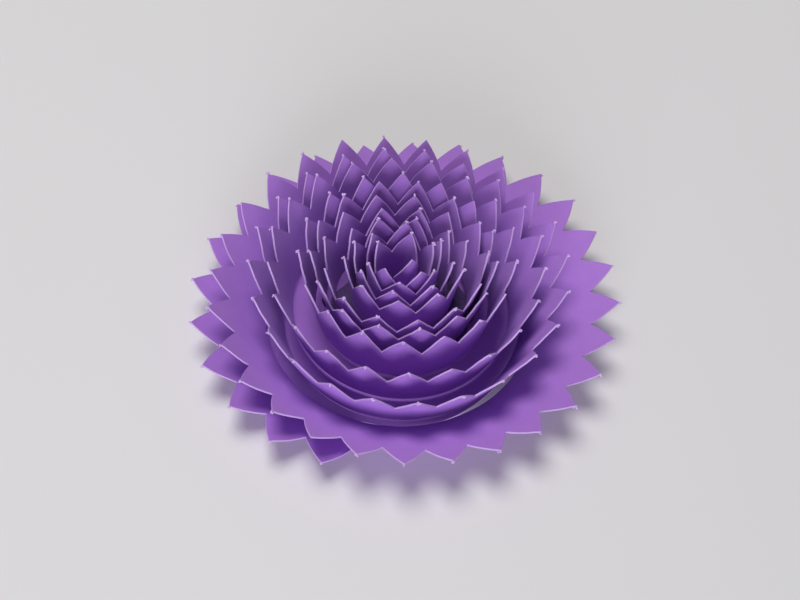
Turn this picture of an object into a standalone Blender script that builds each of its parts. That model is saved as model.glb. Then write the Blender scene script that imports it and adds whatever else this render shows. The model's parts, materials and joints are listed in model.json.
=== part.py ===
"""Coiled paper flower.

One strip of purple card is cut as a flat spiral with a pointed outer edge and a plain inner edge.
It is rolled up into a coil that stands on the spiral's own middle, a plain disc. Clear glue between
the two holds it shut. Metres, +Z up. The origin is on the disc's underside, at the centre of the
arc where the strip leaves the disc, and the front is at -Y.
"""
import math

import bmesh
import bpy
import numpy as np

# The card, as it is cut flat
CARD_THICKNESS = 0.0003
DISC_RADIUS = 0.01844  # where the strip leaves the disc; from there its rim winds outwards inside the strip
STRIP_WIDTH = 0.01329  # from the rolling line to the tip of a point
POINT_HEIGHT = 0.0052  # from the valley between two points up to their tips
POINT_PITCH = 0.00573  # from point to point, along the rolling line
POINT_FULLNESS = 0.03  # how far a point's sides bulge, as a share of its height
NECK_POINTS = 2.5  # points that pass before the slit frees the strip from the disc
SLIT_WIDTH = 0.0015  # from the disc's edge out to the plain edge, as seen from above
SLIT_OPENING = 0.04  # turns over which the slit opens from nothing
SLIT_END_WIDTH = 0.0004
SLIT_END_TURNS = (0.84, 0.96)  # turns over which the slit narrows to its end

# The coil, as it is rolled: turns are counted inwards from the strip's outer end
COIL_TURNS = 11.2
START_AZIMUTH = math.radians(268.77)
FIRST_POINT_RISE = math.radians(19)  # slope of the first points above the table
COIL_SHIFT_X = 0.00717  # the coil's centre from the disc's
COIL_SHIFT_Y = 0.00423
OUTER_TURN_GAP = -0.0008  # from the disc's edge out to the outer turn, where they come closest
SWELL_TURNS = 0.557  # part of the first turn in which the rolling line swings out to the coil
CORE_RADIUS = 0.00219
# How far each turn stands from the next, compared with the others, from the outermost pair inwards
TURN_LOOSENESS = (6.48, 0.9, 5.27, 1.82, 1.11, 4.06, 1.38, 2.13, 1.11, 2.73)
CORNER_EASING = 0.16  # turns over which a change of spacing is rounded off
CORE_DRIFT_X = -0.00104  # the inner turns' centre from the outer turn's
CORE_DRIFT_X_TURNS = (0.9, 2.2)
CORE_DRIFT_Y = 0.00321
CORE_DRIFT_Y_TURNS = (2.0, 3.1)
COIL_LIFT = 0.00206  # height of the rolling line over the table once the strip has gone round once
# The strip is cut wider at its outer end: there its plain edge lies below the rolling line, else on it
SKIRT_WIDTH = 0.0033  # most that the card is wider there
SKIRT_SHARE = 0.8  # how far it may reach from the rolling line down to the table
SKIRT_GROWTH = (0.5, 0.7)  # turns over which the plain edge goes down from the rolling line
SKIRT_FADE = (0.9, 1.15)  # turns over which it comes up again
# At the front the second to fifth turns are pressed more upright than their bend asks; their tips stay put
PRESSING = math.radians(10)
PRESSING_GROWTH = (1.5, 1.9)
PRESSING_FADE = (3.6, 5.4)
COLUMN_BEND = math.radians(13)  # most that the card turns from one column of points to the next
DISC_STEP = math.radians(6)
STRIP_SAMPLES = 6000
EASING_SAMPLES = 9

# The glue
GLUE_CLEARANCE = 0.0003
GLUE_FILL = 0.6  # share of the room under the rolling line; the pressed turns' feet need the rest
GLUE_RADIUS = 0.0125
GLUE_SHIFT_SHARE = 1.0  # how far the pad lies from the disc's centre towards the coil's
GLUE_EDGE_WAVES = 7
GLUE_WAVE_HEIGHT = 0.0006
GLUE_EDGE_STEPS = 5
GLUE_SEGMENTS = 56
GLUE_CREASE = math.radians(40)


def clear_scene():
    for thing in list(bpy.data.objects):
        bpy.data.objects.remove(thing, do_unlink=True)


def card_material():
    material = bpy.data.materials.new("purple_card")
    material.use_nodes = True
    shader = material.node_tree.nodes["Principled BSDF"]
    shader.inputs["Base Color"].default_value = (0.36, 0.20, 0.52, 1.0)
    shader.inputs["Roughness"].default_value = 0.75
    shader.inputs["Metallic"].default_value = 0.0
    return material


def glue_material():
    material = bpy.data.materials.new("clear_glue")
    material.use_nodes = True
    shader = material.node_tree.nodes["Principled BSDF"]
    shader.inputs["Base Color"].default_value = (0.75, 0.73, 0.78, 1.0)
    shader.inputs["Roughness"].default_value = 0.15
    shader.inputs["Metallic"].default_value = 0.0
    shader.inputs["Transmission Weight"].default_value = 0.7
    return material


def smooth_step(value, low, high):
    share = np.clip((value - low) / (high - low), 0.0, 1.0)
    return share * share * (3.0 - 2.0 * share)


def bump(value, growth, fade):
    return smooth_step(value, *growth) * (1.0 - smooth_step(value, *fade))


def outer_radius():
    """Radius of the outer turn, which passes over the disc's edge on the far side of the coil's shift."""
    return DISC_RADIUS + OUTER_TURN_GAP + math.hypot(COIL_SHIFT_X, COIL_SHIFT_Y)


def swing(turns):
    """How far the rolling line has swung from the disc's edge (0) out to the coil's outer turn (1)."""
    return smooth_step(turns, neck_turns(), SWELL_TURNS)


def coil_radius(turns):
    """Radius of the rolling line about its own centre, for each place along the coil."""
    shares = np.cumsum((0.0,) + TURN_LOOSENESS) / sum(TURN_LOOSENESS)
    radii = outer_radius() - shares * (outer_radius() - CORE_RADIUS)
    stations = 1.0 + np.arange(len(radii))
    offsets = np.linspace(-CORNER_EASING, CORNER_EASING, EASING_SAMPLES)
    wound = sum(np.interp(turns + offset, stations, radii) for offset in offsets) / len(offsets)
    return DISC_RADIUS + swing(turns) * (wound - DISC_RADIUS)


def rising(value, low, high):
    """Goes from 0 at low to 1 at high, steeply at first, as the freed strip climbs off the table."""
    share = np.clip((value - low) / (high - low), 0.0, 1.0)
    return np.sin(share * math.pi / 2.0)


def neck_length():
    return NECK_POINTS * POINT_PITCH


def neck_turns():
    return neck_length() / (2.0 * math.pi * DISC_RADIUS)


class Strip:
    """The rolled strip, sampled finely: how it lies in space for each length along its rolling line."""

    def __init__(self):
        self.turns = np.linspace(0.0, COIL_TURNS, STRIP_SAMPLES)
        self.radius = coil_radius(self.turns)
        bend = 2.0 * math.pi * self.turns
        middle = 0.5 * (self.radius[1:] + self.radius[:-1])
        steps = np.hypot(middle * np.diff(bend), np.diff(self.radius))
        self.length = np.concatenate([[0.0], np.cumsum(steps)])
        self.lift = COIL_LIFT * rising(self.turns, neck_turns(), 1.0)
        self.press_upright()
        down_to_table = SKIRT_SHARE * self.lift / np.cos(self.lean)
        self.skirt = np.minimum(down_to_table, SKIRT_WIDTH) * bump(self.turns, SKIRT_GROWTH, SKIRT_FADE)
        shifted = swing(self.turns)
        drifted_x = smooth_step(self.turns, *CORE_DRIFT_X_TURNS)
        drifted_y = smooth_step(self.turns, *CORE_DRIFT_Y_TURNS)
        self.centre_x = COIL_SHIFT_X * shifted + CORE_DRIFT_X * drifted_x
        self.centre_y = COIL_SHIFT_Y * shifted + CORE_DRIFT_Y * drifted_y

    def press_upright(self):
        """Sets the card's lean. Where it is pressed upright, its foot goes outwards and down."""
        rolled = np.arcsin(np.minimum(self.radius / flat_radius(self.length), 1.0))
        # 1 at the front, 0 at the back
        frontness = 0.5 - 0.5 * np.sin(START_AZIMUTH - 2.0 * math.pi * self.turns)
        self.lean = rolled - PRESSING * frontness ** 2 * bump(self.turns, PRESSING_GROWTH, PRESSING_FADE)
        self.radius = self.radius + STRIP_WIDTH * (np.sin(rolled) - np.sin(self.lean))
        self.lift = self.lift - STRIP_WIDTH * (np.cos(self.lean) - np.cos(rolled))

    def turns_at(self, length):
        return float(np.interp(length, self.length, self.turns))

    def inside_plain_edge(self, turns, inset):
        """The point of the table this far inside the plain edge, after this many turns."""
        radius, skirt, lean, centre_x, centre_y = (
            np.interp(turns, self.turns, track)
            for track in (self.radius, self.skirt, self.lean, self.centre_x, self.centre_y)
        )
        reach = radius - skirt * math.sin(lean) - inset
        azimuth = START_AZIMUTH - 2.0 * math.pi * turns
        return (centre_x + reach * math.cos(azimuth), centre_y + reach * math.sin(azimuth), 0.0)

    def plain_edge(self, length):
        return self.place(length, -np.interp(length, self.length, self.skirt))

    def place(self, length, height):
        """The point that lies this far along the rolling line and this far up the card from it."""
        turns = self.turns_at(length)
        radius = np.interp(turns, self.turns, self.radius)
        lean = np.interp(turns, self.turns, self.lean)
        azimuth = START_AZIMUTH - 2.0 * math.pi * turns
        reach = radius + height * math.sin(lean)
        x = np.interp(turns, self.turns, self.centre_x) + reach * math.cos(azimuth)
        y = np.interp(turns, self.turns, self.centre_y) + reach * math.sin(azimuth)
        z = np.interp(turns, self.turns, self.lift) + height * math.cos(lean)
        return (x, y, z)


def flat_radius(length):
    """Radius of the rolling line in the flat spiral, which opens by one strip width with each turn."""
    start = DISC_RADIUS / math.cos(FIRST_POINT_RISE)
    return np.sqrt(start ** 2 + STRIP_WIDTH * length / math.pi)


def point_outline(strip):
    """Columns along the strip, each as (length along the rolling line, width of the card above it)."""
    half_pitch = POINT_PITCH / 2.0
    halves = 2 * int(strip.length[-1] / POINT_PITCH)
    columns = []
    for half in range(halves):
        begin = half * half_pitch
        bend = 2.0 * math.pi * (strip.turns_at(begin + half_pitch) - strip.turns_at(begin))
        count = max(2, math.ceil(bend / COLUMN_BEND))
        for step in range(count):
            share = step / count
            rise = share if half % 2 == 0 else 1.0 - share
            columns.append((begin + share * half_pitch, point_width(rise)))
    columns.append((halves * half_pitch, point_width(0.0)))
    return columns


def point_width(rise):
    """Width of the card where a point's side has gone this share of the way from valley to tip."""
    full = rise + POINT_FULLNESS * rise * (1.0 - rise) * 4.0
    return STRIP_WIDTH - POINT_HEIGHT * (1.0 - full)


def disc_rim(mesh, strip, neck):
    """The disc's whole rim: the neck's own vertices, then inside the plain edge until it has gone round."""
    free_turns = 1.0 - neck_turns()
    count = round(2.0 * math.pi * free_turns / DISC_STEP)
    rest = []
    for step in range(1, count + 1):
        gone = free_turns * step / count
        turns = neck_turns() + gone
        narrowed = (SLIT_WIDTH - SLIT_END_WIDTH) * smooth_step(turns, *SLIT_END_TURNS)
        slit = SLIT_WIDTH * smooth_step(gone, 0.0, SLIT_OPENING) - narrowed
        rest.append(mesh.verts.new(strip.inside_plain_edge(turns, slit)))
    return neck + rest


def build_flower(material):
    strip = Strip()
    mesh = bmesh.new()
    columns = point_outline(strip)
    plain_edge = [mesh.verts.new(strip.plain_edge(length)) for length, width in columns]
    pointed_edge = [mesh.verts.new(strip.place(length, width)) for length, width in columns]
    for index in range(len(columns) - 1):
        corners = (plain_edge[index + 1], plain_edge[index], pointed_edge[index], pointed_edge[index + 1])
        mesh.faces.new(corners)
    neck_end = neck_length() + CARD_THICKNESS / 2.0
    neck = [vert for vert, column in zip(plain_edge, columns) if column[0] < neck_end]
    rim = disc_rim(mesh, strip, neck)
    centre = mesh.verts.new((0.0, 0.0, 0.0))
    for index, vert in enumerate(rim):
        mesh.faces.new((centre, rim[(index + 1) % len(rim)], vert))
    bmesh.ops.recalc_face_normals(mesh, faces=mesh.faces)
    if centre.normal.z < 0.0:
        bmesh.ops.reverse_faces(mesh, faces=mesh.faces)
    flower = object_from(mesh, "flower_strip", material)
    thicken = flower.modifiers.new("card_thickness", "SOLIDIFY")
    thicken.thickness = CARD_THICKNESS
    thicken.offset = 1.0
    thicken.use_even_offset = True
    return flower


def glue_profile():
    """Rim of the glue pad as (distance in from its widest reach, height), from the top down."""
    bottom = CARD_THICKNESS + GLUE_CLEARANCE
    top = bottom + GLUE_FILL * (COIL_LIFT - GLUE_CLEARANCE - bottom)
    half_height = (top - bottom) / 2.0
    middle = bottom + half_height
    profile = []
    for angle in np.linspace(math.pi / 2.0, -math.pi / 2.0, GLUE_EDGE_STEPS):
        inset = half_height * (1.0 - math.cos(angle))
        profile.append((inset, middle + half_height * math.sin(angle)))
    return profile


def glue_outline(azimuth):
    """Distance of the pad's edge from its own centre."""
    return GLUE_RADIUS + GLUE_WAVE_HEIGHT * math.sin(GLUE_EDGE_WAVES * azimuth + math.sin(2.0 * azimuth))


def build_glue(material):
    mesh = bmesh.new()
    centre_x = GLUE_SHIFT_SHARE * COIL_SHIFT_X
    centre_y = GLUE_SHIFT_SHARE * COIL_SHIFT_Y
    rings = []
    for inset, height in glue_profile():
        ring = []
        for segment in range(GLUE_SEGMENTS):
            azimuth = 2.0 * math.pi * segment / GLUE_SEGMENTS
            reach = glue_outline(azimuth) - inset
            x = centre_x + reach * math.cos(azimuth)
            y = centre_y + reach * math.sin(azimuth)
            ring.append(mesh.verts.new((x, y, height)))
        rings.append(ring)
    for upper, lower in zip(rings, rings[1:]):
        for index in range(GLUE_SEGMENTS):
            following = (index + 1) % GLUE_SEGMENTS
            mesh.faces.new((upper[index], lower[index], lower[following], upper[following]))
    mesh.faces.new(rings[0])
    mesh.faces.new(reversed(rings[-1]))
    bmesh.ops.recalc_face_normals(mesh, faces=mesh.faces)
    glue = object_from(mesh, "glue_pad", material)
    glue.data.shade_smooth()
    glue.data.set_sharp_from_angle(angle=GLUE_CREASE)
    return glue


def object_from(mesh, name, material):
    data = bpy.data.meshes.new(name)
    mesh.to_mesh(data)
    mesh.free()
    data.materials.append(material)
    thing = bpy.data.objects.new(name, data)
    bpy.context.scene.collection.objects.link(thing)
    return thing


def main():
    clear_scene()
    build_flower(card_material())
    build_glue(glue_material())


main()
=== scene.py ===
"""Looks of the coiled paper flower: finely cut card, fibres at the cut tips, clear glue, pale table."""
import json
import math

import bmesh
import bpy
import numpy as np
from bpy.props import FloatProperty, FloatVectorProperty, IntProperty, PointerProperty
from mathutils import Matrix, Vector

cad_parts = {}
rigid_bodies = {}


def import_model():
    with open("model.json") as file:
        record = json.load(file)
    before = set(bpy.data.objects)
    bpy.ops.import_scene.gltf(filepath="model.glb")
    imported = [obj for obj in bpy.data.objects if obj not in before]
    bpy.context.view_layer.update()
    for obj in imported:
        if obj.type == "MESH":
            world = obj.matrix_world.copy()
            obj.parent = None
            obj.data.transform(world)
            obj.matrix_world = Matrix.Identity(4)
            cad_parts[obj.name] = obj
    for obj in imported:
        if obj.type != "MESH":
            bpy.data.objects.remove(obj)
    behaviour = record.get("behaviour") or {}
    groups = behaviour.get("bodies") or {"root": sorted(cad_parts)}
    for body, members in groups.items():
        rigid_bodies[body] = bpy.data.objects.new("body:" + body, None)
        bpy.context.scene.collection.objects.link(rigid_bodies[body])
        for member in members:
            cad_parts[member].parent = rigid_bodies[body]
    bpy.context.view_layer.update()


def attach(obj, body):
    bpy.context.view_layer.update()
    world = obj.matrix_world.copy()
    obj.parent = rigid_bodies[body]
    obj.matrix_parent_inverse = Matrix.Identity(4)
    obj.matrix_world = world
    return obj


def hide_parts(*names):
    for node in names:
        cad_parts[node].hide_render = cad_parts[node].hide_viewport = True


bl_info = {
    "name": "Coiled paper flower",
    "version": (1, 0, 0),
    "blender": (4, 5, 0),
    "location": "3D View > Sidebar > Flower",
    "description": "Cuts, rolls and glues a paper flower and lays it on a table",
    "category": "Add Mesh",
}

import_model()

# How far each turn stands from the next, compared with the others, from the outermost pair inwards
TURN_LOOSENESS = (6.48, 0.9, 5.27, 1.82, 1.11, 4.06, 1.38, 2.13, 1.11, 2.73)
STRIP_SAMPLES = 6000
EASING_SAMPLES = 9

# The photograph's frame, in pixels, and where the disc's centre lies in it
FRAME_WIDTH = 800
FRAME_HEIGHT = 600
DISC_CENTRE_PIXEL = (361.4, 333.6)
SENSOR_WIDTH = 36.0

# Shares of the disc's radius at which its face has rings of vertices, and its columns from neck to neck
DISC_RINGS = (0.75, 0.5, 0.25)
DISC_STEPS = 90
CREASE = math.radians(35)  # the card's faces are shaded smooth up to this bend

ROUNDING = 0.0001  # keeps a length that falls on a point's start inside that point
TIP_REACH = 0.02  # share of a pitch to each side of a point's middle that counts as its tip
WAVE_GROWTH = 130.0  # how fast the card's waviness grows with each metre of height

# Patches of noise to the metre
WAVES_TO_METRE = 170.0
FIBRE_GRAIN_TO_METRE = 3800.0
CLOUDS_TO_METRE = 420.0
PULP_TO_METRE = 5200.0
FRAY_TO_METRE = 6500.0
TUFTS_TO_METRE = 5000.0
RIPPLES_TO_METRE = 900.0
FIBRE_GRAIN_MIDDLE = 0.45  # value of the fibres' noise that leaves a flake's face where it is

# Flakes and beads: the least and the most of what each is given at random
FLAKE_JITTER = ((-1.0, -1.0, -1.0), (1.0, 1.0, 0.4))
FLAKE_TURN = ((0.0, 0.0, 0.0), (6.28, 6.28, 6.28))
FLAKE_STRETCH = ((0.45, 0.35, 0.25), (1.1, 0.8, 0.6))
BEAD_STRETCH = ((0.6, 0.5, 0.7), (1.2, 1.0, 2.6))
BEAD_RAISE = 1.8  # how many of its radii a bead stands up the card from the plain edge

# The glue pad, as (share of its reach, share of its height) from its top's middle round to its foot's
PAD_PROFILE = (
    (0.12, 1.0), (0.3, 1.0), (0.5, 1.0), (0.7, 1.0), (0.85, 1.0), (0.95, 1.0),
    (0.985, 0.8), (1.0, 0.5), (0.985, 0.2), (0.95, 0.0), (0.5, 0.0), (0.12, 0.0),
)
PAD_SEGMENTS = 144
PAD_EDGE_WAVES = 7.0
PAD_WAVE_HEIGHT = 0.0006
PAD_SWELL = (900.0, 760.0)  # radians to the metre of the waves on its top, along X and Y
PAD_SWELL_START = 1.3

# Lamps: place, size, power compared with the stage's lamp setting, and colour
KEY_LAMP = ((-0.24, 0.30, 1.22), 0.8, 6.3, (1.0, 0.99, 0.97))
FILL_LAMP = ((-0.10, -1.16, 0.23), 0.8, 7.2, (0.90, 0.93, 1.0))
ROOM_COLOUR = (0.93, 0.94, 1.0)
TABLE_REACH = 1.5


def length(name, description, default, low=0.0):
    return FloatProperty(name=name, description=description, default=default, min=low, unit="LENGTH",
                         precision=5)


def turning(name, description, degrees):
    return FloatProperty(name=name, description=description, default=math.radians(degrees), unit="ROTATION")


def share(name, description, default):
    return FloatProperty(name=name, description=description, default=default, min=0.0, max=1.0,
                         subtype="FACTOR")


def number(name, description, default):
    return FloatProperty(name=name, description=description, default=default)


def count(name, description, default):
    return IntProperty(name=name, description=description, default=default, min=1)


def colour(name, description, default):
    return FloatVectorProperty(name=name, description=description, default=default, min=0.0, max=1.0,
                               subtype="COLOR")


class CardSettings(bpy.types.PropertyGroup):
    """The card, as it is cut flat"""

    thickness: length("Thickness", "Thickness of the card", 0.0003)
    disc_radius: length("Disc radius", "Radius of the base disc where the strip leaves it", 0.01844)
    strip_width: length("Strip width", "From the rolling line to the tip of a point", 0.01329)
    point_height: length("Point height", "From the valley between two points up to their tips", 0.0052)
    point_pitch: length("Point pitch", "From point to point along the rolling line", 0.00573)
    point_fullness: share("Point fullness", "How far a point's sides bulge", 0.03)
    unevenness: share("Unevenness", "How much the points differ in height", 0.07)
    neck_points: number("Neck", "Points before the slit frees the strip", 2.5)
    slit_width: length("Slit width", "From the disc's edge out to the plain edge, as seen from above", 0.0015)
    slit_opening: number("Slit opening", "Turns over which the slit opens", 0.04)
    slit_end_width: length("Slit end width", "Width of the slit at its end", 0.0004)
    slit_end_from: number("Slit end from", "Turn at which it starts to narrow", 0.84)
    slit_end_to: number("Slit end to", "Turn at which it is at its narrowest", 0.96)
    waviness: length("Waviness", "How far the card's faces wander from their true shape", 0.0005)
    columns: count("Columns", "Columns of the mesh on each side of a point", 6)
    rows: count("Rows", "Rows of the mesh from the plain edge to the points", 4)
    seed: count("Seed", "Seed of the hand's unevenness", 5)
    face_colour: colour("Card colour", "Colour of the card's faces", (0.45, 0.205, 0.70))
    edge_colour: colour("Edge colour", "Colour of the card's cut edges", (0.62, 0.40, 0.80))


class CoilSettings(bpy.types.PropertyGroup):
    """The coil, as it is rolled: turns are counted inwards from the strip's outer end"""

    turns: number("Turns", "How often the strip goes round", 11.2)
    start: turning("Start", "Azimuth at which the strip leaves the disc", 268.77)
    rise: turning("Rise", "Slope of the first points above the table", 19.0)
    shift: FloatVectorProperty(name="Shift", description="The coil's centre from the disc's", size=2,
                               default=(0.00717, 0.00423), unit="LENGTH")
    outer_gap: FloatProperty(name="Outer gap", description="From the disc's edge out to the outer turn",
                             default=-0.0008, unit="LENGTH")
    swell: number("Swell", "Turns in which the rolling line swings out", 0.557)
    core_radius: length("Core radius", "Radius of the innermost turn", 0.00219)
    drift: FloatVectorProperty(name="Drift", description="The inner turns' centre from the outer turn's",
                               size=2, default=(-0.00104, 0.00321), unit="LENGTH")
    drift_x_from: number("Sideways drift from", "Turn at which it starts", 0.9)
    drift_x_to: number("Sideways drift to", "Turn at which it ends", 2.2)
    drift_y_from: number("Backward drift from", "Turn at which it starts", 2.0)
    drift_y_to: number("Backward drift to", "Turn at which it ends", 3.1)
    easing: number("Easing", "Turns over which a change of spacing is rounded", 0.16)
    lift: length("Lift", "Height of the rolling line over the table after the first turn", 0.00206)
    skirt_width: length("Skirt width", "Most that the card is wider in the outer turn", 0.0033)
    skirt: share("Skirt", "How far this may reach from the rolling line down to the table", 0.8)
    skirt_turns: FloatVectorProperty(name="Skirt turns", description="Turns between which it grows and goes",
                                     size=4, default=(0.5, 0.7, 0.9, 1.15))
    pressing: turning("Pressing", "How much more upright the inner turns are pressed at the front", 10.0)
    pressing_turns: FloatVectorProperty(name="Pressing turns",
                                        description="Turns between which it grows and goes",
                                        size=4, default=(1.5, 1.9, 3.6, 5.4))


class FibreSettings(bpy.types.PropertyGroup):
    """Torn fibres that the blade leaves at the tips"""

    size: length("Size", "Half the length of a fibre flake", 0.0003)
    spread: length("Spread", "How far the flakes of a tip lie from it", 0.0002)
    flakes: count("Flakes", "Flakes on a tip", 3)
    share_of_tips: share("Share of tips", "How many of the tips carry flakes", 0.8)
    seed: count("Seed", "Seed of the fibres", 11)
    colour: colour("Colour", "Colour of the bare fibre", (0.66, 0.46, 0.82))


class GlueSettings(bpy.types.PropertyGroup):
    """Clear glue between the coil and the disc"""

    radius: length("Radius", "Radius of the pad", 0.0125)
    shift_share: share("Shift", "How far the pad lies from the disc's centre towards the coil's", 1.0)
    thickness: length("Thickness", "Height of the pad from its own foot", 0.0012)
    clearance: length("Clearance", "From the disc's face up to the pad", 0.0003)
    unevenness: length("Unevenness", "How far the pad's top rises and falls", 0.0005)
    bead_size: length("Bead size", "Radius of a bead", 0.00065)
    share_of_edge: share("Share of edge", "How much of the coil's plain edge carries beads", 0.04)
    beads_from: length("Beads from", "Length of the strip's outer end that stays free of beads", 0.55)
    seed: count("Seed", "Seed of the beads", 3)
    # Painted shade: the clear glue's tint is a dark purple that paints in the shade of the gaps between the
    # turns and the purple card seen through the glue
    colour: colour("Colour", "Tint of the glue", (0.30, 0.20, 0.46))


class StageSettings(bpy.types.PropertyGroup):
    """Table, light and camera"""

    elevation: turning("Elevation", "Height of the camera over the horizon", 55.2)
    roll: turning("Roll", "Turn of the camera about its own line of sight", -3.38)
    distance: length("Distance", "From the disc's centre to the camera", 0.371)
    pixels_per_metre: number("Scale", "Pixels to the metre at the disc", 5627.0)
    table_colour: colour("Table", "Colour of the table", (0.80, 0.785, 0.79))
    world_strength: number("Room light", "Light from all round", 0.15)
    lamp_power: FloatProperty(name="Lamp", description="What each lamp's power is a multiple of", default=1.6,
                              unit="POWER")


SETTINGS = {
    "flower_card": CardSettings,
    "flower_coil": CoilSettings,
    "flower_fibres": FibreSettings,
    "flower_glue": GlueSettings,
    "flower_stage": StageSettings,
}


# Rolling the strip

def smooth_step(value, low, high):
    portion = np.clip((value - low) / (high - low), 0.0, 1.0)
    return portion * portion * (3.0 - 2.0 * portion)


def bump(value, turns):
    """Grows from 0 to 1 between the first two turns given and goes again between the last two."""
    return smooth_step(value, turns[0], turns[1]) * (1.0 - smooth_step(value, turns[2], turns[3]))


class RolledStrip:
    """The rolled strip, sampled finely: how it lies in space for each length along its rolling line."""

    def __init__(self, card, coil):
        self.card = card
        self.coil = coil
        self.neck_length = card.neck_points * card.point_pitch
        self.neck_turns = self.neck_length / (2.0 * math.pi * card.disc_radius)
        self.turns = np.linspace(0.0, coil.turns, STRIP_SAMPLES)
        swung = smooth_step(self.turns, self.neck_turns, coil.swell)
        self.radius = card.disc_radius + swung * (self.wound_radius() - card.disc_radius)
        middle = 0.5 * (self.radius[1:] + self.radius[:-1])
        steps = np.hypot(middle * np.diff(2.0 * math.pi * self.turns), np.diff(self.radius))
        self.length = np.concatenate([[0.0], np.cumsum(steps)])
        climbed = np.clip((self.turns - self.neck_turns) / (1.0 - self.neck_turns), 0.0, 1.0)
        self.lift = coil.lift * np.sin(climbed * math.pi / 2.0)
        start = card.disc_radius / math.cos(coil.rise)
        cut_radius = np.sqrt(start ** 2 + card.strip_width * self.length / math.pi)
        rolled = np.arcsin(np.minimum(self.radius / cut_radius, 1.0))
        # 1 at the front, 0 at the back
        frontness = 0.5 - 0.5 * np.sin(coil.start - 2.0 * math.pi * self.turns)
        self.lean = rolled - coil.pressing * frontness ** 2 * bump(self.turns, coil.pressing_turns)
        self.radius = self.radius + card.strip_width * (np.sin(rolled) - np.sin(self.lean))
        self.lift = self.lift - card.strip_width * (np.cos(self.lean) - np.cos(rolled))
        down_to_table = np.minimum(coil.skirt * self.lift / np.cos(self.lean), coil.skirt_width)
        self.skirt = down_to_table * bump(self.turns, coil.skirt_turns)
        drifted_x = smooth_step(self.turns, coil.drift_x_from, coil.drift_x_to)
        drifted_y = smooth_step(self.turns, coil.drift_y_from, coil.drift_y_to)
        self.centre_x = coil.shift[0] * swung + coil.drift[0] * drifted_x
        self.centre_y = coil.shift[1] * swung + coil.drift[1] * drifted_y

    def wound_radius(self):
        """Radius of the coil's rolling line about its own centre, turn by turn."""
        outer = self.card.disc_radius + self.coil.outer_gap + math.hypot(*self.coil.shift)
        shares = np.cumsum((0.0,) + TURN_LOOSENESS) / sum(TURN_LOOSENESS)
        radii = outer - shares * (outer - self.coil.core_radius)
        stations = 1.0 + np.arange(len(radii))
        offsets = np.linspace(-self.coil.easing, self.coil.easing, EASING_SAMPLES)
        return sum(np.interp(self.turns + offset, stations, radii) for offset in offsets) / len(offsets)

    def at(self, along, values):
        return float(np.interp(along, self.length, values))

    def disc_edge(self, gone):
        """The disc's edge this many turns beyond the neck, where the slit parts it from the strip."""
        turns = self.neck_turns + gone
        card = self.card
        closing = smooth_step(turns, card.slit_end_from, card.slit_end_to)
        narrowed = (card.slit_width - card.slit_end_width) * closing
        slit = card.slit_width * smooth_step(gone, 0.0, card.slit_opening) - narrowed
        inward = np.interp(turns, self.turns, self.skirt * np.sin(self.lean))
        reach = np.interp(turns, self.turns, self.radius) - inward - slit
        azimuth = self.coil.start - 2.0 * math.pi * turns
        x = np.interp(turns, self.turns, self.centre_x) + reach * math.cos(azimuth)
        y = np.interp(turns, self.turns, self.centre_y) + reach * math.sin(azimuth)
        return (x, y, 0.0)

    def foot(self, along):
        """The point of the plain edge at this length, the direction up the card from it, and the skirt."""
        lean = self.at(along, self.lean)
        azimuth = self.coil.start - 2.0 * math.pi * self.at(along, self.turns)
        outward = Vector((math.cos(azimuth), math.sin(azimuth), 0.0))
        base = Vector([self.at(along, track) for track in (self.centre_x, self.centre_y, self.lift)])
        up_card = outward * math.sin(lean) + Vector((0.0, 0.0, math.cos(lean)))
        skirt = self.at(along, self.skirt)
        return base + self.at(along, self.radius) * outward - skirt * up_card, up_card, skirt


def base_sheet(card, coil):
    """The disc and the bare plain edge, which the node tree widens into the pointed strip."""
    strip = RolledStrip(card, coil)
    half_pitch = card.point_pitch / 2.0
    halves = 2 * int(strip.length[-1] / card.point_pitch)
    lengths = np.arange(halves * card.columns + 1) * half_pitch / card.columns
    mesh = bmesh.new()
    along = mesh.verts.layers.float.new("along")
    up_card = mesh.verts.layers.float_vector.new("up_card")
    skirted = mesh.verts.layers.float.new("skirt")
    on_edge = mesh.verts.layers.bool.new("on_edge")
    widened = mesh.edges.layers.bool.new("widened")
    edge = []
    for value in lengths:
        place, direction, skirt = strip.foot(value)
        vert = mesh.verts.new(place)
        vert[along] = value
        vert[up_card] = direction
        vert[skirted] = skirt
        vert[on_edge] = True
        edge.append(vert)
    neck_end = strip.neck_length + card.thickness / 2.0
    neck = [vert for vert, value in zip(edge, lengths) if value < neck_end]
    add_disc(mesh, strip, neck)
    for first, second in zip(edge, edge[1:]):
        joint = mesh.edges.get((first, second)) or mesh.edges.new((first, second))
        joint[widened] = True
    data = bpy.data.meshes.new("flower_sheet")
    mesh.to_mesh(data)
    mesh.free()
    return data


def add_disc(mesh, strip, neck):
    """The base disc: rings of faces from its rim, which starts with the neck's vertices, to its middle."""
    free_turns = 1.0 - strip.neck_turns
    edges = [strip.disc_edge(free_turns * step / DISC_STEPS) for step in range(1, DISC_STEPS + 1)]
    rim = neck + [mesh.verts.new(place) for place in edges]
    ring = rim
    for shrink in DISC_RINGS:
        inner = [mesh.verts.new(Vector(vert.co) * shrink) for vert in rim]
        for index in range(len(rim)):
            following = (index + 1) % len(rim)
            mesh.faces.new((ring[index], ring[following], inner[following], inner[index]))
        ring = inner
    mesh.faces.new(ring)


# Building node trees

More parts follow.
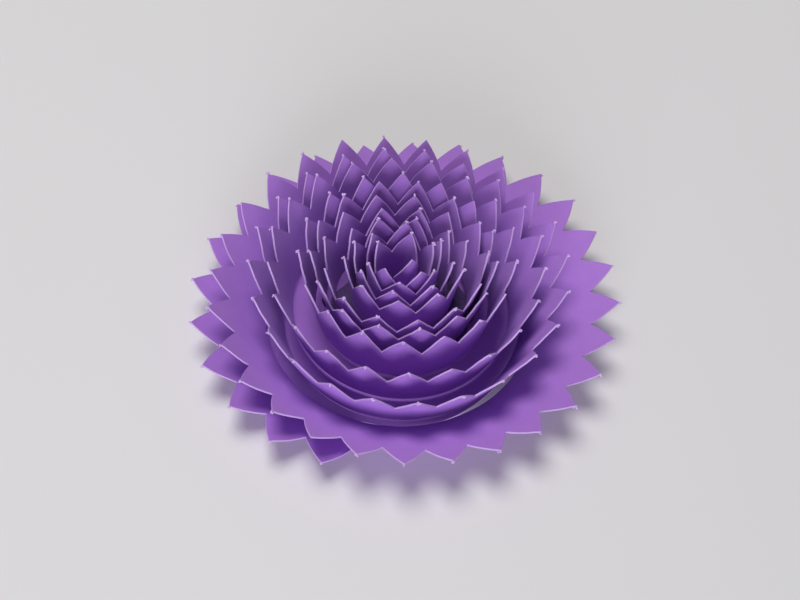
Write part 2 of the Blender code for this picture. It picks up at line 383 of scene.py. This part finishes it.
class Tree:
    """A geometry node tree in the making."""

    def __init__(self, name, inputs):
        self.tree = bpy.data.node_groups.new(name, "GeometryNodeTree")
        self.tree.interface.new_socket("Geometry", in_out="INPUT", socket_type="NodeSocketGeometry")
        self.tree.interface.new_socket("Geometry", in_out="OUTPUT", socket_type="NodeSocketGeometry")
        for label, kind in inputs.items():
            self.tree.interface.new_socket(label, in_out="INPUT", socket_type="NodeSocket" + kind)
        self.entry = self.tree.nodes.new("NodeGroupInput")
        self.exit = self.tree.nodes.new("NodeGroupOutput")

    def given(self, label):
        return self.entry.outputs[label]

    def node(self, kind, **settings):
        made = self.tree.nodes.new(kind)
        for key, value in settings.items():
            setattr(made, key, value)
        return made

    def feed(self, socket, source):
        if isinstance(source, bpy.types.NodeSocket):
            self.tree.links.new(source, socket)
        else:
            socket.default_value = source

    def sum(self, operation, *sources):
        made = self.node("ShaderNodeMath", operation=operation)
        for socket, source in zip(made.inputs, sources):
            self.feed(socket, source)
        return made.outputs[0]

    def scaled(self, vector, factor):
        made = self.node("ShaderNodeVectorMath", operation="SCALE")
        self.feed(made.inputs[0], vector)
        self.feed(made.inputs["Scale"], factor)
        return made.outputs[0]

    def attribute(self, name, kind):
        made = self.node("GeometryNodeInputNamedAttribute", data_type=kind)
        made.inputs["Name"].default_value = name
        return made.outputs["Attribute"]

    def random(self, low, high, seed, identity=None, kind="FLOAT"):
        made = self.node("FunctionNodeRandomValue", data_type=kind)
        lows = [socket for socket in made.inputs if socket.name == "Min" and socket.enabled]
        highs = [socket for socket in made.inputs if socket.name == "Max" and socket.enabled]
        self.feed(lows[0], low)
        self.feed(highs[0], high)
        self.feed(made.inputs["Seed"], seed)
        if identity is not None:
            self.feed(made.inputs["ID"], identity)
        return [socket for socket in made.outputs if socket.enabled][0]

    def finish(self, geometry, material):
        """Ends the tree in real faces that carry their material."""
        real = self.node("GeometryNodeRealizeInstances")
        paint = self.node("GeometryNodeSetMaterial")
        self.feed(real.inputs["Geometry"], geometry)
        self.feed(paint.inputs["Geometry"], real.outputs["Geometry"])
        self.feed(paint.inputs["Material"], material)
        self.feed(self.exit.inputs["Geometry"], paint.outputs["Geometry"])
        return self.tree


def grown(data, tree, values, name):
    """Runs a node tree on a mesh and returns the result as a plain piece."""
    seed_piece = bpy.data.objects.new(name + "_seed", data)
    bpy.context.scene.collection.objects.link(seed_piece)
    growth = seed_piece.modifiers.new("growth", "NODES")
    growth.node_group = tree
    for socket in tree.interface.items_tree:
        if socket.name in values:
            growth[socket.identifier] = values[socket.name]
    seed_piece.update_tag()
    graph = bpy.context.evaluated_depsgraph_get()
    result = bpy.data.meshes.new_from_object(seed_piece.evaluated_get(graph), depsgraph=graph)
    bpy.data.objects.remove(seed_piece, do_unlink=True)
    result.name = name
    piece = bpy.data.objects.new(name, result)
    bpy.context.scene.collection.objects.link(piece)
    return piece


def strip_tree():
    """Widens the marked edges up the card, in rows, into a strip with a pointed edge."""
    tree = Tree("Pointed strip", {
        "Strip Width": "Float", "Point Height": "Float", "Point Pitch": "Float", "Point Fullness": "Float",
        "Unevenness": "Float", "Waviness": "Float", "Rows": "Int", "Seed": "Int", "Card": "Material"})
    along = tree.attribute("along", "FLOAT")
    counted = tree.sum("DIVIDE", along, tree.given("Point Pitch"))
    point = tree.sum("FLOOR", tree.sum("ADD", counted, ROUNDING))
    doubled = tree.sum("MULTIPLY", tree.sum("FRACT", counted), 2.0)
    swing = tree.sum("ABSOLUTE", tree.sum("SUBTRACT", doubled, 1.0))
    rise = tree.sum("SUBTRACT", 1.0, swing)
    # rise times swing is a quarter at most
    most_bulge = tree.sum("MULTIPLY", tree.given("Point Fullness"), 4.0)
    bulge = tree.sum("MULTIPLY", tree.sum("MULTIPLY", rise, swing), most_bulge)
    full = tree.sum("ADD", rise, bulge)
    uneven = tree.random(-1.0, 1.0, tree.given("Seed"), point)
    grown_by = tree.sum("MULTIPLY", tree.sum("MULTIPLY", uneven, tree.given("Unevenness")), full)
    height = tree.sum("MULTIPLY", tree.given("Point Height"), tree.sum("ADD", full, grown_by))
    body = tree.sum("SUBTRACT", tree.given("Strip Width"), tree.given("Point Height"))
    width = tree.sum("ADD", tree.sum("ADD", body, tree.attribute("skirt", "FLOAT")), height)
    repeat_in = tree.node("GeometryNodeRepeatInput")
    repeat_out = tree.node("GeometryNodeRepeatOutput")
    repeat_in.pair_with_output(repeat_out)
    repeat_out.repeat_items.new("BOOLEAN", "Edge")
    tree.feed(repeat_in.inputs["Iterations"], tree.given("Rows"))
    tree.feed(repeat_in.inputs["Geometry"], tree.given("Geometry"))
    tree.feed(repeat_in.inputs["Edge"], tree.attribute("widened", "BOOLEAN"))
    widen = tree.node("GeometryNodeExtrudeMesh", mode="EDGES")
    tree.feed(widen.inputs["Mesh"], repeat_in.outputs["Geometry"])
    tree.feed(widen.inputs["Selection"], repeat_in.outputs["Edge"])
    tree.feed(widen.inputs["Offset Scale"], 0.0)
    lay = tree.node("GeometryNodeSetPosition")
    row_width = tree.sum("DIVIDE", width, tree.given("Rows"))
    tree.feed(lay.inputs["Geometry"], widen.outputs["Mesh"])
    tree.feed(lay.inputs["Selection"], widen.outputs["Top"])
    tree.feed(lay.inputs["Offset"], tree.scaled(tree.attribute("up_card", "FLOAT_VECTOR"), row_width))
    tree.feed(repeat_out.inputs["Geometry"], lay.outputs["Geometry"])
    tree.feed(repeat_out.inputs["Edge"], widen.outputs["Top"])
    marked = tree.node("GeometryNodeStoreNamedAttribute", data_type="BOOLEAN", domain="POINT")
    tree.feed(marked.inputs["Geometry"], repeat_out.outputs["Geometry"])
    tree.feed(marked.inputs["Name"], "pointed")
    tree.feed(marked.inputs["Value"], repeat_out.outputs["Edge"])
    warped = tree.node("GeometryNodeSetPosition")
    tree.feed(warped.inputs["Geometry"], marked.outputs["Geometry"])
    tree.feed(warped.inputs["Offset"], waviness(tree))
    return tree.finish(warped.outputs["Geometry"], tree.given("Card"))


def waviness(tree):
    """A wandering across the card that grows with the height over the table, so that the disc stays flat."""
    height = tree.node("ShaderNodeSeparateXYZ")
    tree.feed(height.inputs[0], tree.node("GeometryNodeInputPosition").outputs[0])
    cloud = tree.node("ShaderNodeTexNoise")
    tree.feed(cloud.inputs["Scale"], WAVES_TO_METRE)
    centred = tree.sum("SUBTRACT", cloud.outputs[0], 0.5)
    grown_up = tree.sum("MULTIPLY", height.outputs["Z"], WAVE_GROWTH)
    amount = tree.sum("MULTIPLY", tree.sum("MULTIPLY", centred, grown_up), tree.given("Waviness"))
    return tree.scaled(tree.node("GeometryNodeInputNormal").outputs[0], amount)


def fibre_tree():
    """Small flakes of bare fibre at the tips of the points."""
    tree = Tree("Tip fibres", {
        "Point Pitch": "Float", "Size": "Float", "Spread": "Float", "Flakes": "Int", "Share": "Float",
        "Seed": "Int", "Fibre": "Material"})
    counted = tree.sum("DIVIDE", tree.attribute("along", "FLOAT"), tree.given("Point Pitch"))
    portion = tree.sum("FRACT", counted)
    at_tip = tree.sum("LESS_THAN", tree.sum("ABSOLUTE", tree.sum("SUBTRACT", portion, 0.5)), TIP_REACH)
    chosen = tree.sum("LESS_THAN", tree.random(0.0, 1.0, tree.given("Seed")), tree.given("Share"))
    points = tree.node("GeometryNodeMeshToPoints")
    tree.feed(points.inputs["Mesh"], tree.given("Geometry"))
    picked = tree.sum("MULTIPLY", tree.sum("MULTIPLY", at_tip, chosen), tree.attribute("pointed", "BOOLEAN"))
    tree.feed(points.inputs["Selection"], picked)
    many = tree.node("GeometryNodeDuplicateElements", domain="POINT")
    tree.feed(many.inputs["Geometry"], points.outputs[0])
    tree.feed(many.inputs["Amount"], tree.given("Flakes"))
    strewn = tree.node("GeometryNodeSetPosition")
    tree.feed(strewn.inputs["Geometry"], many.outputs["Geometry"])
    jitter = tree.random(*FLAKE_JITTER, tree.given("Seed"), kind="FLOAT_VECTOR")
    tree.feed(strewn.inputs["Offset"], tree.scaled(jitter, tree.given("Spread")))
    flakes = scattered(tree, strewn.outputs["Geometry"])
    return tree.finish(roughened(tree, flakes), tree.given("Fibre"))


def scattered(tree, points):
    """A turned and stretched flake on every point."""
    lump = tree.node("GeometryNodeMeshIcoSphere")
    tree.feed(lump.inputs["Radius"], tree.given("Size"))
    tree.feed(lump.inputs["Subdivisions"], 3)
    put = tree.node("GeometryNodeInstanceOnPoints")
    tree.feed(put.inputs["Points"], points)
    tree.feed(put.inputs["Instance"], lump.outputs["Mesh"])
    turned = tree.random(*FLAKE_TURN, tree.given("Seed"), kind="FLOAT_VECTOR")
    tree.feed(put.inputs["Rotation"], turned)
    tree.feed(put.inputs["Scale"], tree.random(*FLAKE_STRETCH, tree.given("Seed"), kind="FLOAT_VECTOR"))
    return put.outputs["Instances"]


def roughened(tree, instances):
    """Real, uneven lumps instead of round ones."""
    real = tree.node("GeometryNodeRealizeInstances")
    tree.feed(real.inputs["Geometry"], instances)
    grain = tree.node("ShaderNodeTexNoise")
    tree.feed(grain.inputs["Scale"], FIBRE_GRAIN_TO_METRE)
    centred = tree.sum("SUBTRACT", grain.outputs[0], FIBRE_GRAIN_MIDDLE)
    moved = tree.node("GeometryNodeSetPosition")
    tree.feed(moved.inputs["Geometry"], real.outputs["Geometry"])
    amount = tree.sum("MULTIPLY", centred, tree.given("Size"))
    tree.feed(moved.inputs["Offset"], tree.scaled(tree.node("GeometryNodeInputNormal").outputs[0], amount))
    return moved.outputs["Geometry"]


def bead_tree():
    """Beads and threads of clear glue that stand up from the pad along the coil's plain edge."""
    tree = Tree("Glue beads", {
        "Size": "Float", "Share": "Float", "Outer Length": "Float", "Seed": "Int", "Glue": "Material"})
    chosen = tree.sum("LESS_THAN", tree.random(0.0, 1.0, tree.given("Seed")), tree.given("Share"))
    beyond = tree.sum("GREATER_THAN", tree.attribute("along", "FLOAT"), tree.given("Outer Length"))
    picked = tree.sum("MULTIPLY", tree.sum("MULTIPLY", chosen, beyond), tree.attribute("on_edge", "BOOLEAN"))
    points = tree.node("GeometryNodeMeshToPoints")
    tree.feed(points.inputs["Mesh"], tree.given("Geometry"))
    tree.feed(points.inputs["Selection"], picked)
    raised = tree.node("GeometryNodeSetPosition")
    up_card = tree.attribute("up_card", "FLOAT_VECTOR")
    tree.feed(raised.inputs["Geometry"], points.outputs[0])
    rise = tree.sum("MULTIPLY", tree.given("Size"), BEAD_RAISE)
    tree.feed(raised.inputs["Offset"], tree.scaled(up_card, rise))
    upright = tree.node("FunctionNodeAlignRotationToVector", axis="Z")
    tree.feed(upright.inputs["Vector"], up_card)
    lump = tree.node("GeometryNodeMeshIcoSphere")
    tree.feed(lump.inputs["Radius"], tree.given("Size"))
    tree.feed(lump.inputs["Subdivisions"], 4)
    put = tree.node("GeometryNodeInstanceOnPoints")
    tree.feed(put.inputs["Points"], raised.outputs["Geometry"])
    tree.feed(put.inputs["Instance"], lump.outputs["Mesh"])
    tree.feed(put.inputs["Rotation"], upright.outputs[0])
    stretch = tree.random(*BEAD_STRETCH, tree.given("Seed"), kind="FLOAT_VECTOR")
    tree.feed(put.inputs["Scale"], stretch)
    return tree.finish(put.outputs["Instances"], tree.given("Glue"))


# Materials

def new_material(name, base, roughness):
    material = bpy.data.materials.new(name)
    material.use_nodes = True
    shader = material.node_tree.nodes["Principled BSDF"]
    shader.inputs["Base Color"].default_value = (*base, 1.0)
    shader.inputs["Roughness"].default_value = roughness
    return material, shader


def link(material, source, target):
    material.node_tree.links.new(source, target)


def noise(material, scale, detail=2.0, stretch=(1.0, 1.0, 1.0)):
    """Noise on Object coordinates; scale is in patches to the metre."""
    nodes = material.node_tree.nodes
    place = nodes.new("ShaderNodeTexCoord")
    mapping = nodes.new("ShaderNodeMapping")
    mapping.inputs["Scale"].default_value = stretch
    made = nodes.new("ShaderNodeTexNoise")
    made.inputs["Scale"].default_value = scale
    made.inputs["Detail"].default_value = detail
    link(material, place.outputs["Object"], mapping.inputs["Vector"])
    link(material, mapping.outputs["Vector"], made.inputs["Vector"])
    return made


def tinted(material, shader, base, spread, textures):
    """Lets the colour wander round its base, as card dyed in the pulp does."""
    nodes = material.node_tree.nodes
    source = None
    for texture, weight in textures:
        ramp = nodes.new("ShaderNodeMapRange")
        ramp.inputs["To Min"].default_value = 1.0 - spread * weight
        ramp.inputs["To Max"].default_value = 1.0 + spread * weight
        link(material, texture.outputs["Fac"], ramp.inputs["Value"])
        if source is None:
            source = ramp.outputs["Result"]
        else:
            both = nodes.new("ShaderNodeMath")
            both.operation = "MULTIPLY"
            link(material, source, both.inputs[0])
            link(material, ramp.outputs["Result"], both.inputs[1])
            source = both.outputs[0]
    scale = nodes.new("ShaderNodeVectorMath")
    scale.operation = "SCALE"
    scale.inputs[0].default_value = base
    link(material, source, scale.inputs["Scale"])
    link(material, scale.outputs["Vector"], shader.inputs["Base Color"])


def bumped(material, shader, texture, strength, distance):
    relief = material.node_tree.nodes.new("ShaderNodeBump")
    relief.inputs["Strength"].default_value = strength
    relief.inputs["Distance"].default_value = distance
    link(material, texture.outputs["Fac"], relief.inputs["Height"])
    link(material, relief.outputs["Normal"], shader.inputs["Normal"])


def card_material(settings):
    material, shader = new_material("purple_card_face", settings.face_colour, roughness=0.82)
    clouds = noise(material, CLOUDS_TO_METRE, detail=3.0)
    pulp = noise(material, PULP_TO_METRE, detail=3.0, stretch=(1.0, 1.0, 0.45))
    tinted(material, shader, settings.face_colour, spread=0.10, textures=((clouds, 0.6), (pulp, 1.0)))
    bumped(material, shader, pulp, strength=0.35, distance=0.00006)
    shader.inputs["Specular IOR Level"].default_value = 0.28
    shader.inputs["Sheen Weight"].default_value = 0.08
    shader.inputs["Sheen Roughness"].default_value = 0.6
    return material


def edge_material(settings):
    material, shader = new_material("purple_card_cut_edge", settings.edge_colour, roughness=0.9)
    fray = noise(material, FRAY_TO_METRE, detail=3.0)
    tinted(material, shader, settings.edge_colour, spread=0.22, textures=((fray, 1.0),))
    bumped(material, shader, fray, strength=0.8, distance=0.00012)
    return material


def fibre_material(settings):
    material, shader = new_material("bare_fibre", settings.colour, roughness=0.95)
    tuft = noise(material, TUFTS_TO_METRE, detail=3.0)
    tinted(material, shader, settings.colour, spread=0.15, textures=((tuft, 1.0),))
    bumped(material, shader, tuft, strength=0.7, distance=0.0001)
    return material


def glue_material(settings):
    # Its base colour is the dark purple tint of painted shade from the glue settings, not a colour of the
    # clear glue itself
    material, shader = new_material("clear_glue", settings.colour, roughness=0.06)
    shader.inputs["Transmission Weight"].default_value = 0.6
    shader.inputs["IOR"].default_value = 1.46
    ripple = noise(material, RIPPLES_TO_METRE)
    bumped(material, shader, ripple, strength=0.5, distance=0.0002)
    return material


# Pieces

def settings_of(context, name):
    return getattr(context.scene, name)


def pointed_sheet(context, face, name):
    """The whole sheet, without thickness."""
    card = settings_of(context, "flower_card")
    return grown(base_sheet(card, settings_of(context, "flower_coil")), strip_tree(), {
        "Strip Width": card.strip_width, "Point Height": card.point_height, "Point Pitch": card.point_pitch,
        "Point Fullness": card.point_fullness, "Unevenness": card.unevenness, "Waviness": card.waviness,
        "Rows": card.rows, "Seed": card.seed, "Card": face}, name)


class RollStrip(bpy.types.Operator):
    """Cuts the card and rolls it into the flower"""

    bl_idname = "flower.roll_strip"
    bl_label = "Roll the strip"

    def execute(self, context):
        card = settings_of(context, "flower_card")
        piece = pointed_sheet(context, card_material(card), "rolled_card")
        give_thickness(piece, card)
        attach(piece, "root")
        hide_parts("flower_strip")
        return {"FINISHED"}


def give_thickness(piece, card):
    """Turns the open sheet into closed card with paler cut edges."""
    mesh = bmesh.new()
    mesh.from_mesh(piece.data)
    bmesh.ops.recalc_face_normals(mesh, faces=mesh.faces)
    middle = min(mesh.faces, key=lambda one: one.calc_center_median().length)
    if middle.normal.z < 0.0:
        bmesh.ops.reverse_faces(mesh, faces=mesh.faces)
    mesh.to_mesh(piece.data)
    mesh.free()
    piece.data.materials.append(edge_material(card))
    thicken = piece.modifiers.new("card_thickness", "SOLIDIFY")
    thicken.thickness = card.thickness
    thicken.offset = 1.0
    thicken.use_even_offset = True
    thicken.material_offset_rim = 1
    graph = bpy.context.evaluated_depsgraph_get()
    solid = bpy.data.meshes.new_from_object(piece.evaluated_get(graph), depsgraph=graph)
    piece.modifiers.clear()
    piece.data = solid
    solid.name = piece.name
    solid.shade_smooth()
    solid.set_sharp_from_angle(angle=CREASE)


class GrowFibres(bpy.types.Operator):
    """Leaves flakes of bare fibre on the tips"""

    bl_idname = "flower.grow_fibres"
    bl_label = "Grow the fibres"

    def execute(self, context):
        fibres = settings_of(context, "flower_fibres")
        material = fibre_material(fibres)
        sheet = pointed_sheet(context, material, "fibre_sheet")
        tips = sheet.data
        bpy.data.objects.remove(sheet, do_unlink=True)
        piece = grown(tips, fibre_tree(), {
            "Point Pitch": settings_of(context, "flower_card").point_pitch, "Size": fibres.size,
            "Spread": fibres.spread, "Flakes": fibres.flakes, "Share": fibres.share_of_tips,
            "Seed": fibres.seed, "Fibre": material}, "tip_fibres")
        piece.data.shade_smooth()
        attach(piece, "root")
        return {"FINISHED"}


class PourGlue(bpy.types.Operator):
    """Pours the pad of clear glue and its beads"""

    bl_idname = "flower.pour_glue"
    bl_label = "Pour the glue"

    def execute(self, context):
        glue = settings_of(context, "flower_glue")
        material = glue_material(glue)
        pad = poured_pad(glue, settings_of(context, "flower_coil"), settings_of(context, "flower_card"))
        pad.data.materials.append(material)
        context.scene.collection.objects.link(pad)
        sheet = base_sheet(settings_of(context, "flower_card"), settings_of(context, "flower_coil"))
        beads = grown(sheet, bead_tree(), {
            "Size": glue.bead_size, "Share": glue.share_of_edge, "Outer Length": glue.beads_from,
            "Seed": glue.seed, "Glue": material}, "glue_beads")
        beads.data.shade_smooth()
        for piece in (pad, beads):
            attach(piece, "root")
        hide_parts("glue_pad")
        return {"FINISHED"}


def poured_pad(glue, coil, card):
    """The pad: rings round a middle, with an uneven top and a rounded rim."""
    centre = Vector((glue.shift_share * coil.shift[0], glue.shift_share * coil.shift[1], 0.0))
    bottom = card.thickness + glue.clearance
    mesh = bmesh.new()
    rings = []
    for reach_share, height_share in PAD_PROFILE:
        ring = []
        for segment in range(PAD_SEGMENTS):
            azimuth = 2.0 * math.pi * segment / PAD_SEGMENTS
            wave = math.sin(PAD_EDGE_WAVES * azimuth + math.sin(2.0 * azimuth))
            edge = glue.radius + PAD_WAVE_HEIGHT * wave
            place = centre + edge * reach_share * Vector((math.cos(azimuth), math.sin(azimuth), 0.0))
            along_x = math.sin(PAD_SWELL[0] * place.x + PAD_SWELL_START)
            swell = along_x * math.sin(PAD_SWELL[1] * place.y) * height_share
            dip = glue.unevenness * (0.5 - 0.5 * swell) * height_share
            place.z = bottom + glue.thickness * height_share - dip
            ring.append(mesh.verts.new(place))
        rings.append(ring)
    for outer, inner in zip(rings, rings[1:]):
        for index in range(PAD_SEGMENTS):
            following = (index + 1) % PAD_SEGMENTS
            mesh.faces.new((outer[index], outer[following], inner[following], inner[index]))
    mesh.faces.new(rings[0])
    mesh.faces.new(rings[-1])
    bmesh.ops.recalc_face_normals(mesh, faces=mesh.faces)
    data = bpy.data.meshes.new("poured_glue")
    mesh.to_mesh(data)
    mesh.free()
    data.shade_smooth()
    return bpy.data.objects.new("poured_glue", data)


class SetStage(bpy.types.Operator):
    """Lays the table and sets up light and camera"""

    bl_idname = "flower.set_stage"
    bl_label = "Set the stage"

    def execute(self, context):
        stage = settings_of(context, "flower_stage")
        table = new_material("pale_table", stage.table_colour, roughness=0.55)[0]
        data = bpy.data.meshes.new("table_top")
        corners = [(TABLE_REACH * x, TABLE_REACH * y, 0.0) for x, y in ((-1, -1), (1, -1), (1, 1), (-1, 1))]
        data.from_pydata(corners, [], [(0, 1, 2, 3)])
        data.materials.append(table)
        top = bpy.data.objects.new("table_top", data)
        context.scene.collection.objects.link(top)
        set_world(context, stage)
        set_lamp(context, stage, "key_lamp", *KEY_LAMP)
        set_lamp(context, stage, "fill_lamp", *FILL_LAMP)
        set_camera(context, stage)
        return {"FINISHED"}


def set_world(context, stage):
    world = bpy.data.worlds.new("room")
    world.use_nodes = True
    sky = world.node_tree.nodes["Background"]
    sky.inputs["Color"].default_value = (*ROOM_COLOUR, 1.0)
    sky.inputs["Strength"].default_value = stage.world_strength
    context.scene.world = world
    context.scene.view_settings.view_transform = "Standard"


def set_lamp(context, stage, name, place, size, power, tint):
    lamp = bpy.data.lights.new(name, "AREA")
    lamp.shape = "DISK"
    lamp.size = size
    lamp.energy = stage.lamp_power * power
    lamp.color = tint
    holder = bpy.data.objects.new(name, lamp)
    holder.location = place
    holder.rotation_euler = (-Vector(place)).to_track_quat("-Z", "Y").to_euler()
    context.scene.collection.objects.link(holder)


def set_camera(context, stage):
    """A camera that sees the disc's centre at its pixel of the photograph's frame."""
    eye = stage.distance * Vector((0.0, -math.cos(stage.elevation), math.sin(stage.elevation)))
    right = Vector((1.0, 0.0, 0.0))
    up = Vector((0.0, math.sin(stage.elevation), math.cos(stage.elevation)))
    turned_right = math.cos(stage.roll) * right - math.sin(stage.roll) * up
    turned_up = math.sin(stage.roll) * right + math.cos(stage.roll) * up
    across = (FRAME_WIDTH / 2.0 - DISC_CENTRE_PIXEL[0]) / stage.pixels_per_metre
    above = (DISC_CENTRE_PIXEL[1] - FRAME_HEIGHT / 2.0) / stage.pixels_per_metre
    target = across * turned_right + above * turned_up
    back = (eye - target).normalized()
    side = turned_up.cross(back).normalized()
    data = bpy.data.cameras.new("camera")
    data.sensor_width = SENSOR_WIDTH
    data.lens = SENSOR_WIDTH * stage.pixels_per_metre * stage.distance / FRAME_WIDTH
    camera = bpy.data.objects.new("camera", data)
    turn = Matrix((side, back.cross(side), back)).transposed()
    camera.matrix_world = Matrix.Translation(eye) @ turn.to_4x4()
    context.scene.collection.objects.link(camera)
    context.scene.camera = camera


OPERATORS = (RollStrip, GrowFibres, PourGlue, SetStage)


class FlowerPanel(bpy.types.Panel):
    """Lists the steps that make the flower"""

    bl_idname = "VIEW3D_PT_flower"
    bl_label = "Paper flower"
    bl_space_type = "VIEW_3D"
    bl_region_type = "UI"
    bl_category = "Flower"

    def draw(self, context):
        for step in OPERATORS:
            self.layout.operator(step.bl_idname)
        for name in SETTINGS:
            box = self.layout.box()
            group = settings_of(context, name)
            for key in group.__annotations__:
                box.prop(group, key)


def register():
    for name, group in SETTINGS.items():
        bpy.utils.register_class(group)
        setattr(bpy.types.Scene, name, PointerProperty(type=group))
    for step in OPERATORS:
        bpy.utils.register_class(step)
    bpy.utils.register_class(FlowerPanel)


def unregister():
    bpy.utils.unregister_class(FlowerPanel)
    for step in reversed(OPERATORS):
        bpy.utils.unregister_class(step)
    for name, group in SETTINGS.items():
        delattr(bpy.types.Scene, name)
        bpy.utils.unregister_class(group)


def main():
    register()
    for thing in list(bpy.data.objects):
        if thing.type in {"CAMERA", "LIGHT"}:
            bpy.data.objects.remove(thing, do_unlink=True)
    bpy.ops.flower.roll_strip()
    bpy.ops.flower.grow_fibres()
    bpy.ops.flower.pour_glue()
    bpy.ops.flower.set_stage()


if __name__ == "__main__":
    main()
